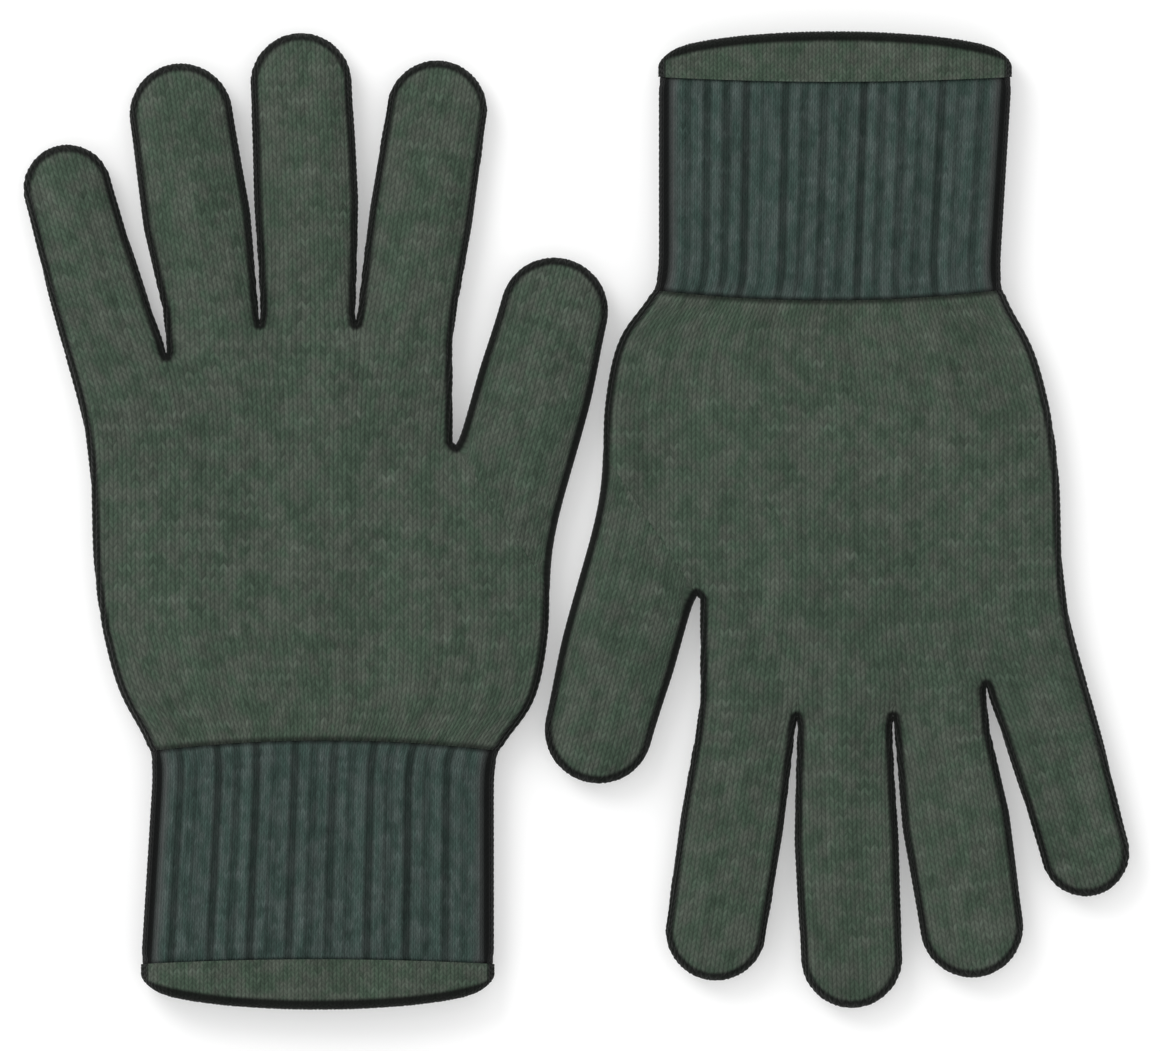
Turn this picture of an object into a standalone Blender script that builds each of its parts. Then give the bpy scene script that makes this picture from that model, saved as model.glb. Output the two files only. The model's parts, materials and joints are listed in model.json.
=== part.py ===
"""A pair of knitted gloves lying flat: glove A has its fingers at +Y, glove B has them at -Y.

Both gloves are the same flat hand, which fits either hand, and glove B is glove A turned half
round. A glove is one hollow outline with rounded sides. Its pieces are cut out of that outline
where the knitting changes (rib cuff, hem) and where the fabric folds (wrist, knuckles, thumb).
Each piece that moves has its origin on the crease that it folds about.
"""

import math

import bmesh
import bpy
import numpy as np

# Fabric and lie, in metres.
LOFT = 0.013  # height of a glove as it lies
WALL = 0.002  # one layer of knitting
SIDE_RADIUS = 0.0060  # rounding of the outer sides
CAVITY_RADIUS = 0.0040  # rounding of the sides of the hollow
JOINT_GAP = 0.0004  # slot between two pieces that meet
FORK_GAP = 0.0008  # slot between two fingers where they part
THUMB_FORK_GAP = 0.0020  # the same between the palm and the thumb

# Hand, in metres from the middle of the wrist seam. A "shift" is how far the middle of a width
# lies towards the thumb, and a pair of heights is for the little finger's side and the thumb's.
PALM_WIDTH = 0.1141
PALM_SHIFT = 0.0002
PALM_SIDE_Y = (0.0540, 0.0400)  # where the palm's sides run straight
HEEL_WIDTH = 0.1040
HEEL_SHIFT = 0.0015
HEEL_Y = (0.0130, 0.0100)  # where the palm starts to draw in towards the wrist
HEEL_TILT = 18.0  # how far it leans in there, in degrees
KNUCKLE_Y = 0.1056  # fork level of the index, middle and ring fingers
MIDDLE_X = -0.0031  # the middle finger's root
LITTLE_DROP = 0.0050  # how much lower the little finger leaves the hand
THUMB_FORK_Y = 0.0750
THUMB_CREASE_TILT = 147.5  # direction of the thumb's crease from its fork, degrees from +Y
THUMB_HINGE_SHARE = 0.7  # how far down the crease the thumb's hinge point lies, in thumb widths

# Cuff.
WRIST_WIDTH = 0.0849
WRIST_SHIFT = 0.0008
WRIST_Y = -0.0060  # where the cuff is narrowest
MOUTH_WIDTH = 0.0880
MOUTH_SHIFT = -0.0007
RIB_LENGTH = 0.0549
HEM_SIDE = 0.0040  # the hem's length at its two side edges
MOUTH_BOW = 0.0078  # how far the mouth's edge bows out in the middle

# Elastic thread inside the rib cuff.
ELASTIC_DIAMETER = 0.0008
ELASTIC_CLEARANCE = 0.0006
ELASTIC_TURNS = 5
ELASTIC_END_MARGIN = 0.0050

# Digits: widths at the root, the middle and the tip, lengths and folds in metres, and tilts at
# the root and the tip in degrees to the right of +Y. A fold is how far from the root the crease
# in the middle of the digit lies.
DIGITS = {
    "little": {"widths": (0.0242, 0.0230, 0.0212), "length": 0.0576, "tilts": (-18.0, -14.5), "fold": 0.0300},
    "ring": {"widths": (0.0226, 0.0266, 0.0252), "length": 0.0660, "tilts": (-9.5, -8.2), "fold": 0.0350},
    "middle": {"widths": (0.0232, 0.0256, 0.0248), "length": 0.0712, "tilts": (0.0, -3.5), "fold": 0.0380},
    "index": {"widths": (0.0238, 0.0256, 0.0246), "length": 0.0666, "tilts": (8.5, 8.6), "fold": 0.0355},
    "thumb": {"widths": (0.0288, 0.0288, 0.0264), "length": 0.0510, "tilts": (16.5, 13.5), "fold": 0.0240},
}
SWELL_SHARE = 0.5  # share of a digit over which it goes from its root's width to its middle's

# How the pair lies, in metres.
PAIR_GAP = 0.0035  # between the two gloves where they come closest
PAIR_Y = 0.0550  # from the middle of the pair to each wrist seam

# Fineness of the faceted outline.
SIDE_STEPS = 4
TIP_STEPS = 8
FORK_STEPS = 4
PALM_STEPS = 5
MOUTH_STEPS = 14
ELASTIC_STEPS = 8
PAIR_STEPS = 180
OUTER_RINGS = 1
CAVITY_RINGS = 1

# Cutting and finishing.
FAR = 0.0900  # beyond the glove's sides
FREE_REACH = 0.0100  # how far a digit's region reaches past a side with nothing beside it
SLOT_REACH = 0.4 * FORK_GAP  # the same past a side with another finger beside it
INDEX_REACH = 1.5 * FORK_GAP  # the same past the index finger's side, above the thumb's fork
WELD = 0.00001
SHARP_ANGLE = 35.0  # edges sharper than this, in degrees, stay sharp
OVERSHOOT = 0.0150  # how far the outline runs on past the mouth, to be cut off

HAND_COLOUR = (0.060, 0.081, 0.061)
CUFF_COLOUR = (0.040, 0.058, 0.052)
ELASTIC_COLOUR = (0.020, 0.024, 0.023)


def heading(tilt):
    """The unit vector a tilt to the right of +Y."""
    return np.array([math.sin(math.radians(tilt)), math.cos(math.radians(tilt))])


def across(tilt):
    """The unit vector to the right of that heading."""
    return np.array([math.cos(math.radians(tilt)), -math.sin(math.radians(tilt))])


def smoothstep(t):
    t = min(max(t, 0.0), 1.0)
    return t * t * (3 - 2 * t)


class Digit:
    """One finger or the thumb: a strip that bends evenly from its root tilt to its tip tilt."""

    def __init__(self, name, left=None, right=None):
        size = DIGITS[name]
        self.name = name
        self.widths = size["widths"]
        self.tilts = size["tilts"]
        self.run = size["length"] - self.widths[2] / 2
        self.fold = size["fold"]
        sideways = across(self.tilts[0]) * self.widths[0]
        self.left = np.array(right) - sideways if left is None else np.array(left)
        self.right = self.left + sideways
        self.root = (self.left + self.right) / 2

    def at(self, distance):
        """The centre line's point, its tilt and the half width there."""
        share = distance / self.run
        tilt = self.tilts[0] + (self.tilts[1] - self.tilts[0]) * share
        mean_tilt = (self.tilts[0] + tilt) / 2
        swell = smoothstep(share / SWELL_SHARE)
        taper = smoothstep((share - SWELL_SHARE) / (1 - SWELL_SHARE))
        root, middle, tip = self.widths
        width = root + (middle - root) * swell + (tip - middle) * taper
        return self.root + heading(mean_tilt) * distance, tilt, width / 2

    def side(self, sign, extra=0.0):
        """The points up one side (-1 left, +1 right), moved outwards by extra."""
        points = []
        for step in range(SIDE_STEPS + 1):
            centre, tilt, half_width = self.at(self.run * step / SIDE_STEPS)
            points.append(centre + across(tilt) * sign * (half_width + extra))
        return points

    def outline(self):
        """The points up the left side, round the tip and down the right side."""
        centre, tilt, radius = self.at(self.run)
        tip = []
        for step in range(1, TIP_STEPS):
            turn = tilt - 90 + 180 * step / TIP_STEPS
            tip.append(centre + heading(turn) * radius)
        return self.side(-1) + tip + self.side(1)[::-1]

    def ribbon(self, left_extra, right_extra):
        """A band round the digit that starts well below its root and ends beyond its tip."""
        below = -heading(self.tilts[0]) * FAR
        beyond = heading(self.tilts[1]) * self.widths[2]
        left = self.side(-1, left_extra)
        right = self.side(1, right_extra)
        band = [left[0] + below] + left + [left[-1] + beyond]
        return band + [right[-1] + beyond] + right[::-1] + [right[0] + below]


def make_digits():
    middle_root = np.array([MIDDLE_X, KNUCKLE_Y])
    half = across(DIGITS["middle"]["tilts"][0]) * DIGITS["middle"]["widths"][0] / 2
    middle = Digit("middle", left=middle_root - half)
    index = Digit("index", left=middle.right + [FORK_GAP, 0])
    ring = Digit("ring", right=middle.left - [FORK_GAP, 0])
    little = Digit("little", right=ring.left - [FORK_GAP, LITTLE_DROP])
    thumb = Digit("thumb", left=(index.right[0] + THUMB_FORK_GAP, THUMB_FORK_Y))
    return {digit.name: digit for digit in (little, ring, middle, index, thumb)}


def fork(left, right):
    """The points round the bottom of a slot, between the points where its two sides start."""
    radius = (right[0] - left[0]) / 2
    centre = np.array([left[0] + radius, min(left[1], right[1])])
    turns = [-90 - 180 * step / FORK_STEPS for step in range(1, FORK_STEPS)]
    return [centre + heading(turn) * radius for turn in turns]


def bend(start, start_way, end, end_way, steps):
    """The points of a smooth curve after start and before end, leaving and arriving as told."""
    reach = np.linalg.norm(np.subtract(end, start))
    points = []
    for step in range(1, steps):
        t = step / steps
        points.append(
            (2 * t**3 - 3 * t**2 + 1) * np.array(start)
            + (t**3 - 2 * t**2 + t) * reach * np.array(start_way)
            + (3 * t**2 - 2 * t**3) * np.array(end)
            + (t**3 - t**2) * reach * np.array(end_way)
        )
    return points


def palm_side(side, top, top_tilt):
    """The points from a digit's outer root point down one side (0 or 1) of the hand to the mouth."""
    sign = (-1, 1)[side]
    down = heading(180)
    draw_in = heading(180 + HEEL_TILT * sign)
    straight = np.array([PALM_SHIFT + sign * PALM_WIDTH / 2, PALM_SIDE_Y[side]])
    heel = np.array([HEEL_SHIFT + sign * HEEL_WIDTH / 2, HEEL_Y[side]])
    wrist = np.array([WRIST_SHIFT + sign * WRIST_WIDTH / 2, WRIST_Y])
    mouth = np.array([MOUTH_SHIFT + sign * MOUTH_WIDTH / 2, -RIB_LENGTH])
    points = bend(top, -heading(top_tilt), straight, down, PALM_STEPS) + [straight]
    points += bend(straight, down, heel, draw_in, PALM_STEPS) + [heel]
    points += bend(heel, draw_in, wrist, down, PALM_STEPS) + [wrist]
    return points + [mouth]


def mouth_y():
    """The lowest point of the mouth's edge."""
    return -RIB_LENGTH - HEM_SIDE - MOUTH_BOW


def glove_outline(digits, overshoot):
    """The whole hand from above, clockwise, running on past the mouth by overshoot."""
    little, ring, middle, index, thumb = digits.values()
    bottom = mouth_y() - overshoot
    points = [np.array([MOUTH_SHIFT - MOUTH_WIDTH / 2, bottom])]
    points += palm_side(0, little.left, little.tilts[0])[::-1]
    for digit, following in ((little, ring), (ring, middle), (middle, index)):
        points += digit.outline() + fork(digit.right, following.left)
    thumb_fork = np.array([index.right[0], THUMB_FORK_Y])
    points += index.outline() + [thumb_fork] + fork(thumb_fork, thumb.left)
    points += thumb.outline() + palm_side(1, thumb.right, thumb.tilts[0])
    return points + [np.array([MOUTH_SHIFT + MOUTH_WIDTH / 2, bottom])]


def thumb_side_x(outline, y):
    """How far the outline reaches towards the thumb's side at a height, or -FAR beyond its ends."""
    found = [-FAR]
    for (x0, y0), (x1, y1) in zip(outline, outline[1:]):
        if (y0 - y) * (y1 - y) <= 0 and y0 != y1:
            found.append(x0 + (x1 - x0) * (y - y0) / (y1 - y0))
    return max(found)


def pair_x(outline):
    """How far each glove stands from the middle of the pair, thumb side to thumb side."""
    reaches = []
    for step in range(PAIR_STEPS):
        y = FAR * step / PAIR_STEPS
        reaches.append(thumb_side_x(outline, PAIR_Y + y) + thumb_side_x(outline, PAIR_Y - y))
    return (PAIR_GAP + max(reaches)) / 2


def clip(polygon, point, way):
    """The part of a polygon on the side of a line, through the point, that way points to."""
    kept = []
    for here, there in zip(polygon, polygon[1:] + polygon[:1]):
        a = np.dot(here - point, way)
        b = np.dot(there - point, way)
        if a >= 0:
            kept.append(here)
        if a * b < 0:
            kept.append(here + (there - here) * a / (a - b))
    return kept


def new_collection(name):
    collection = bpy.data.collections.new(name)
    bpy.context.scene.collection.children.link(collection)
    return collection


def flat_solid(name, points, height, radius, rings, inset, collection):
    """A flat outline as a closed mesh object: height thick, its sides rounded by radius."""
    curve = bpy.data.curves.new(name, "CURVE")
    curve.dimensions = "2D"
    curve.fill_mode = "BOTH"
    curve.extrude = height / 2 - radius
    curve.bevel_depth = radius
    curve.bevel_resolution = rings
    curve.offset = -inset - radius
    spline = curve.splines.new("POLY")
    spline.points.add(len(points) - 1)
    for corner, place in zip(spline.points, points):
        corner.co = (place[0], place[1], 0, 1)
    spline.use_cyclic_u = True
    outline = bpy.data.objects.new(name + "_outline", curve)
    collection.objects.link(outline)
    outline.location.z = LOFT / 2
    solid = solid_from(outline, name, collection)
    solid.hide_render = True
    solid.display_type = "WIRE"
    return solid


def solid_from(source, name, collection):
    """Makes a mesh object from a curve object, welds its caps and removes the curve."""
    bpy.context.view_layer.update()
    evaluated = source.evaluated_get(bpy.context.evaluated_depsgraph_get())
    mesh = bpy.data.meshes.new_from_object(evaluated)
    mesh.name = name
    work = bmesh.new()
    work.from_mesh(mesh)
    bmesh.ops.remove_doubles(work, verts=work.verts, dist=WELD)
    bmesh.ops.recalc_face_normals(work, faces=work.faces)
    work.to_mesh(mesh)
    work.free()
    solid = bpy.data.objects.new(name, mesh)
    solid.matrix_world = source.matrix_world.copy()
    collection.objects.link(solid)
    bpy.data.objects.remove(source)
    return solid


def cut_piece(name, body, region, hollow, origin, collection):
    """The mesh of the body inside the region, without the hollow, seen from its own origin."""
    piece = bpy.data.objects.new(name, body.data)
    piece.matrix_world = body.matrix_world.copy()
    collection.objects.link(piece)
    for operation, other in (("INTERSECT", region), ("DIFFERENCE", hollow)):
        modifier = piece.modifiers.new(operation.title(), "BOOLEAN")
        modifier.operation = operation
        modifier.object = other
    bpy.context.view_layer.update()
    evaluated = piece.evaluated_get(bpy.context.evaluated_depsgraph_get())
    mesh = bpy.data.meshes.new_from_object(evaluated)
    mesh.name = name
    shift = np.array([origin[0], origin[1], origin[2] - body.location.z])
    for vertex in mesh.vertices:
        vertex.co -= type(vertex.co)(shift)
    bpy.data.objects.remove(piece)
    mesh.shade_smooth()
    mesh.set_sharp_from_angle(angle=math.radians(SHARP_ANGLE))
    return mesh


def piece_regions(digits):
    """The outline that holds each piece, and the point and axis that it folds about."""
    half = JOINT_GAP / 2
    up = np.array([0.0, 1.0])
    crease_z = LOFT + JOINT_GAP / 2
    little, ring, middle, index, thumb = digits.values()
    fork_point = np.array([index.right[0] + THUMB_FORK_GAP / 2, THUMB_FORK_Y - THUMB_FORK_GAP / 2])
    crease_way = heading(THUMB_CREASE_TILT)
    to_thumb = heading(THUMB_CREASE_TILT - 90)
    crease_end = fork_point + crease_way * (HEEL_Y[1] - fork_point[1]) / crease_way[1]
    crease_middle = fork_point + crease_way * THUMB_HINGE_SHARE * thumb.widths[0]

    slot_x = little.right[0] + FORK_GAP / 2
    little_y = little.right[1]
    knuckle_y = max(middle.left[1], middle.right[1])
    palm = [
        np.array([-FAR, half]),
        np.array([FAR, half]),
        crease_end - to_thumb * half,
        fork_point - to_thumb * half,
        np.array([fork_point[0], knuckle_y - half]),
        np.array([slot_x, knuckle_y - half]),
        np.array([slot_x, little_y - half]),
        np.array([-FAR, little_y - half]),
    ]
    regions = {"palm": (palm, (0.0, 0.0, 0.0))}

    cuff = [np.array(corner) for corner in (
        (-FAR, -RIB_LENGTH + half), (FAR, -RIB_LENGTH + half), (FAR, -half), (-FAR, -half),
    )]
    regions["rib_cuff"] = (cuff, (0.0, 0.0, crease_z))

    mouth_half = MOUTH_WIDTH / 2 + JOINT_GAP
    hem_top = -RIB_LENGTH - half
    hem = [np.array([MOUTH_SHIFT + sign * mouth_half, hem_top]) for sign in (1, -1)]
    for step in range(MOUTH_STEPS + 1):
        turn = math.pi * step / MOUTH_STEPS
        edge_y = -RIB_LENGTH - HEM_SIDE - MOUTH_BOW * math.sin(turn)
        hem.append(np.array([MOUTH_SHIFT - mouth_half * math.cos(turn), edge_y]))
    regions["hem"] = (hem, (0.0, 0.0, crease_z))

    extras = {
        "little": (FREE_REACH, SLOT_REACH),
        "ring": (SLOT_REACH, SLOT_REACH),
        "middle": (SLOT_REACH, SLOT_REACH),
        "index": (SLOT_REACH, INDEX_REACH),
        "thumb": (THUMB_FORK_GAP / 2, FREE_REACH),
    }
    for digit in digits.values():
        if digit is thumb:
            root_point, root_way = crease_middle, to_thumb
        elif digit is little:
            root_point, root_way = np.array([digit.root[0], little_y]), up
        else:
            root_point, root_way = np.array([digit.root[0], knuckle_y]), up
        band = digit.ribbon(*extras[digit.name])
        fold_point, fold_tilt, _ = digit.at(digit.fold)
        fold_way = heading(fold_tilt)
        base = clip(band, root_point + root_way * half, root_way)
        base = clip(base, fold_point - fold_way * half, -fold_way)
        tip = clip(band, fold_point + fold_way * half, fold_way)
        regions[digit.name + "_base"] = (base, (*root_point, crease_z))
        regions[digit.name + "_tip"] = (tip, (*fold_point, crease_z))
    return regions


def cuff_at(y):
    """The middle of the cuff and half its outer width at a height between wrist and mouth."""
    share = min(max((WRIST_Y - y) / (WRIST_Y + RIB_LENGTH), 0.0), 1.0)
    middle = WRIST_SHIFT + (MOUTH_SHIFT - WRIST_SHIFT) * share
    return middle, (WRIST_WIDTH + (MOUTH_WIDTH - WRIST_WIDTH) * share) / 2


def elastic_thread(collection):
    """One elastic thread wound inside the rib cuff, close to its wall."""
    radius = CAVITY_RADIUS - ELASTIC_CLEARANCE - ELASTIC_DIAMETER / 2
    corner_z = LOFT / 2 - WALL - CAVITY_RADIUS
    top = -ELASTIC_END_MARGIN
    travel = RIB_LENGTH - 2 * ELASTIC_END_MARGIN
    count = ELASTIC_TURNS * ELASTIC_STEPS
    curve = bpy.data.curves.new("cuff_elastic", "CURVE")
    curve.dimensions = "3D"
    curve.bevel_depth = ELASTIC_DIAMETER / 2
    curve.bevel_resolution = 2
    curve.use_fill_caps = True
    spline = curve.splines.new("POLY")
    spline.points.add(count)
    for step, corner in enumerate(spline.points):
        turn = 2 * math.pi * (step + 0.5) / ELASTIC_STEPS
        y = top - travel * step / count
        middle, half_width = cuff_at(y)
        corner_x = math.copysign(half_width - WALL - CAVITY_RADIUS, math.cos(turn))
        x = middle + corner_x + radius * math.cos(turn)
        z = math.copysign(corner_z, math.sin(turn)) + radius * math.sin(turn)
        corner.co = (x, y, z, 1)
    wound = bpy.data.objects.new("cuff_elastic_path", curve)
    collection.objects.link(wound)
    wound.location.z = LOFT / 2
    thread = solid_from(wound, "cuff_elastic", collection)
    mesh = thread.data
    for vertex in mesh.vertices:
        vertex.co.z += LOFT / 2 - (LOFT + JOINT_GAP / 2)
    bpy.data.objects.remove(thread)
    mesh.shade_smooth()
    return mesh


def material(name, colour, roughness):
    made = bpy.data.materials.new(name)
    made.use_nodes = True
    shader = made.node_tree.nodes["Principled BSDF"]
    shader.inputs["Base Color"].default_value = (*colour, 1)
    shader.inputs["Roughness"].default_value = roughness
    shader.inputs["Metallic"].default_value = 0
    return made


def place_glove(name, location, turn, meshes, origins, collection):
    """One glove: an empty, the palm on it, and each other piece on the piece that carries it."""
    stand = bpy.data.objects.new(name, None)
    stand.location = location
    stand.rotation_euler.z = math.radians(turn)
    collection.objects.link(stand)
    carriers = {"palm": None, "rib_cuff": "palm", "hem": "rib_cuff", "cuff_elastic": "rib_cuff"}
    for digit in DIGITS:
        carriers[digit + "_base"] = "palm"
        carriers[digit + "_tip"] = digit + "_base"
    placed = {}
    for piece, carrier in carriers.items():
        thing = bpy.data.objects.new(f"{name}_{piece}", meshes[piece])
        collection.objects.link(thing)
        start = np.zeros(3) if carrier is None else np.array(origins[carrier])
        thing.parent = stand if carrier is None else placed[carrier]
        thing.location = np.array(origins[piece]) - start
        placed[piece] = thing
    return placed


def main():
    for thing in list(bpy.data.objects):
        bpy.data.objects.remove(thing)
    bpy.context.scene.unit_settings.system = "METRIC"
    gloves = new_collection("knitted_gloves")
    cutters = new_collection("cutters")

    digits = make_digits()
    body_outline = glove_outline(digits, OVERSHOOT)
    hollow_outline = glove_outline(digits, 2 * OVERSHOOT)
    body = flat_solid("glove_body", body_outline, LOFT, SIDE_RADIUS, OUTER_RINGS, 0, cutters)
    hollow_height = LOFT - 2 * WALL
    hollow = flat_solid(
        "glove_hollow", hollow_outline, hollow_height, CAVITY_RADIUS, CAVITY_RINGS, WALL, cutters
    )

    meshes = {}
    origins = {}
    for name, (outline, origin) in piece_regions(digits).items():
        region = flat_solid("region_" + name, outline, 2 * LOFT, 0, 0, 0, cutters)
        meshes[name] = cut_piece(name, body, region, hollow, origin, cutters)
        origins[name] = origin
    meshes["cuff_elastic"] = elastic_thread(cutters)
    origins["cuff_elastic"] = origins["rib_cuff"]

    hand = material("hand_knit", HAND_COLOUR, 0.95)
    rib = material("rib_knit", CUFF_COLOUR, 0.95)
    thread = material("elastic_thread", ELASTIC_COLOUR, 0.6)
    special = {"rib_cuff": rib, "cuff_elastic": thread}
    for name, mesh in meshes.items():
        mesh.materials.clear()
        mesh.materials.append(special.get(name, hand))

    x = pair_x(body_outline)
    place_glove("glove_a", (-x, -PAIR_Y, 0), 0, meshes, origins, gloves)
    place_glove("glove_b", (x, PAIR_Y, 0), 180, meshes, origins, gloves)


main()
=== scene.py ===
"""The looks of a pair of knitted gloves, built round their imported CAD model."""

# %% [markdown]
# # A pair of knitted gloves
# Two plain five-finger gloves lie flat, head to tail. Each is a heathered olive hand in stocking
# stitch, a darker blue-green rib cuff and an olive hem. Glove B is glove A turned half round.
#
# The CAD model is the fixed frame: it says how big everything is, and where the wrist, the
# fingers and the thumb fold. Its plain solids are replaced here by real knitting. All the sizes
# of a hand are read off the solids, so the looks follow the CAD model if that changes.

# %% Load the frame
import json
import math

import bpy
import numpy as np
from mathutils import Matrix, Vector
from mathutils.bvhtree import BVHTree


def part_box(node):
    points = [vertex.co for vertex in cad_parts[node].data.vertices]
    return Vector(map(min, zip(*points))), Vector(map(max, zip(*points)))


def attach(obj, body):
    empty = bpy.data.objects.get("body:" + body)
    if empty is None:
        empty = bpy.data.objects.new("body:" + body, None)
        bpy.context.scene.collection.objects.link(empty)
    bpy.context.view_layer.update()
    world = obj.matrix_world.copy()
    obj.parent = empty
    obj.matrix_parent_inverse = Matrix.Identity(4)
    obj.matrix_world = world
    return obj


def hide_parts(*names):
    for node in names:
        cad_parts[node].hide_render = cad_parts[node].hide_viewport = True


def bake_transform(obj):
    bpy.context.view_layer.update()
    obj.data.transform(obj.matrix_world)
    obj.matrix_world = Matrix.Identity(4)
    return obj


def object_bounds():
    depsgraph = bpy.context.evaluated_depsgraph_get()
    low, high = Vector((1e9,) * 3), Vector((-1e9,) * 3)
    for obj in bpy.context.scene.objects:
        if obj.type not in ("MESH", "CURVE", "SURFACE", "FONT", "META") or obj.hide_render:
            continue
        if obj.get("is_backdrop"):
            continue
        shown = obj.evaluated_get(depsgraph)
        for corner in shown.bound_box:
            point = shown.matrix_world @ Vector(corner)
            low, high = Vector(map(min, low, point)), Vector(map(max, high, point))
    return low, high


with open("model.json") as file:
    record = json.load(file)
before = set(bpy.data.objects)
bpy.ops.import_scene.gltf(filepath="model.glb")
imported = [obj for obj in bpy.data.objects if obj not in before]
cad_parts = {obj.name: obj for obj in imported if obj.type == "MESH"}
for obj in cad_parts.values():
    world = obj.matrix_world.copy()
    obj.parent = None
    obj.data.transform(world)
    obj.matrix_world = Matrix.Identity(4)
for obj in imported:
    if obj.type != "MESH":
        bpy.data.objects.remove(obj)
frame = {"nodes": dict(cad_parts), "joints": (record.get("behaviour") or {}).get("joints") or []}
nodes = frame["nodes"]
joints = {joint["name"]: joint for joint in frame["joints"]}
cad_low, cad_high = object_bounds()
LOFT = cad_high.z - cad_low.z
print("CAD box in mm:", [round(side * 1000, 1) for side in cad_high - cad_low])

# %% [markdown]
# ## Reading the hand's outline
# A ray that comes from far off at half height stops at the first solid that it meets. Rays from
# the left and from the right give both sides of each digit, row by row. The CAD outline is made
# of straight stretches, so the points are smoothed a little afterwards.
#
# Everything is worked out once, for glove A, measured from the middle of its wrist seam.

# %% Ray probes
FAR = 0.2  # where the rays start
ROW = 0.002  # from one ray to the next
HALF_SLOT = 0.0004  # half of the slot between two fingers
WRIST = np.array(joints["glove_a_wrist_fold"]["pos_m"][:2])
FINGERS = ["little", "ring", "middle", "index"]
DIGITS = FINGERS + ["thumb"]
LEFT, RIGHT = np.array([-1.0, 0.0]), np.array([1.0, 0.0])


def tree_of(node):
    """A CAD solid as a tree that rays can be shot at."""
    mesh = nodes[node].data
    return BVHTree.FromPolygons([v.co for v in mesh.vertices], [p.vertices for p in mesh.polygons])


solids = {name[8:]: tree_of(name) for name in nodes if name.startswith("glove_a_")}


def reach(names, point, way, height=LOFT / 2):
    """How far the named solids reach from a point of glove A in a direction, or None."""
    towards = Vector((*way, 0)).normalized()
    start = Vector((*(WRIST + point), height)) + towards * FAR
    found = []
    for name in names:
        place, _, _, distance = solids[name].ray_cast(start, -towards)
        if place:
            found.append(FAR - distance)
    return max(found) if found else None


def side_points(names, low, high, way):
    """Points up one side of the named solids between two heights."""
    points = []
    for y in np.arange(low, high, ROW):
        far = reach(names, (0.0, y), way)
        if far is not None:
            points.append((way[0] * far, y))
    return np.array(points)


def hinge(name):
    """A hinge's place in glove A's own plan, and its axis."""
    joint = joints["glove_a_" + name]
    return np.array(joint["pos_m"][:2]) - WRIST, np.array(joint["axis"][:2])


palm_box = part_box("glove_a_palm")
print("palm solid in mm:", [round(v * 1000, 1) for v in palm_box[1] - palm_box[0]])

# %% [markdown]
# ## Lines of points
# A side of the glove is a list of points in order. It could be one of Blender's curves, but a
# plain array of points is easier to measure, to smooth and to lay rows of fabric between.

# %% Polyline helpers
SMOOTHING = 0.0035  # how far a corner of the solids is rounded off


def x_of(line, y):
    """Where a line that runs upwards is at some heights."""
    return np.interp(y, line[:, 1], line[:, 0])


def lengths(line):
    """The distance along a line of points to each of its points."""
    return np.concatenate([[0], np.cumsum(np.linalg.norm(np.diff(line, axis=0), axis=1))])


def along(line, distances):
    """The points at some distances along a line."""
    run = lengths(line)
    return np.stack([np.interp(distances, run, line[:, k]) for k in range(2)], axis=-1)


def smooth_line(line, spread=SMOOTHING, step=0.001):
    """The line with its corners rounded off, ending where it did."""
    total = lengths(line)[-1]
    count = max(int(total / step), 4)
    even = along(line, np.linspace(0, total, count + 1))
    reach_out = int(3 * spread / step)
    weight = np.exp(-0.5 * (np.arange(-reach_out, reach_out + 1) * step / spread) ** 2)
    weight /= weight.sum()
    start = 2 * even[0] - even[1 : reach_out + 1][::-1]
    end = 2 * even[-1] - even[-reach_out - 1 : -1][::-1]
    padded = np.concatenate([start, even, end])
    rounded = [np.convolve(padded[:, k], weight, "valid") for k in range(2)]
    return np.stack(rounded, axis=-1)


def step_up(value, low, high):
    """0 below low, 1 above high, and an even S between them."""
    t = np.clip((value - low) / (high - low), 0, 1)
    return t * t * (3 - 2 * t)


# %% [markdown]
# ## Digits
# Each digit is a left and a right side that run up to one tip. The tip is a half circle, whose
# middle lies one half width before the end of the solid. Between two fingers the sides start
# from a fork, and below the forks they run on into the palm as the lines where four strips of
# knitting meet.

# %% Where the digits start
PALM_TOP = hinge("little_root_fold")[0][1] - HALF_SLOT - 0.0001  # where the palm piece ends
BESIDE = 0.001  # a ray next to an edge stays this far from it
forks = {}
for left_name, right_name in zip(FINGERS, FINGERS[1:]):
    level = hinge((left_name if left_name == "little" else right_name) + "_root_fold")[0][1]
    edge = reach([left_name + "_base"], (0.0, level + BESIDE), RIGHT)
    forks[left_name, right_name] = np.array([edge + HALF_SLOT, level])
index_side = reach(["palm"], (0.0, PALM_TOP), RIGHT)
slot_x = index_side + BESIDE
fork_y = max(reach([name], (slot_x, 0.0), (0, 1)) or 0 for name in ("palm", "thumb_base"))
thumb_fork = np.array([slot_x, fork_y])
crease_point, crease_way = hinge("thumb_root_fold")
print("forks in mm:", {k: np.round(v * 1000, 1) for k, v in forks.items()}, thumb_fork * 1000)

# %% Sides of each digit
TIP_LENGTH = 0.0155  # the width of a tip is read this far before its end
NEAR_FOLD = 0.002  # rays this near a fold can enter its slot, so they don't count
BEFORE_TIP = 0.003  # the probed points end this far before the round of the tip
PAST_TIP = 0.02  # the rows of rays end this far past it


def square_to(axis):
    """The way a digit points, from the axis that it folds about."""
    return np.array([-axis[1], axis[0]])


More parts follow.
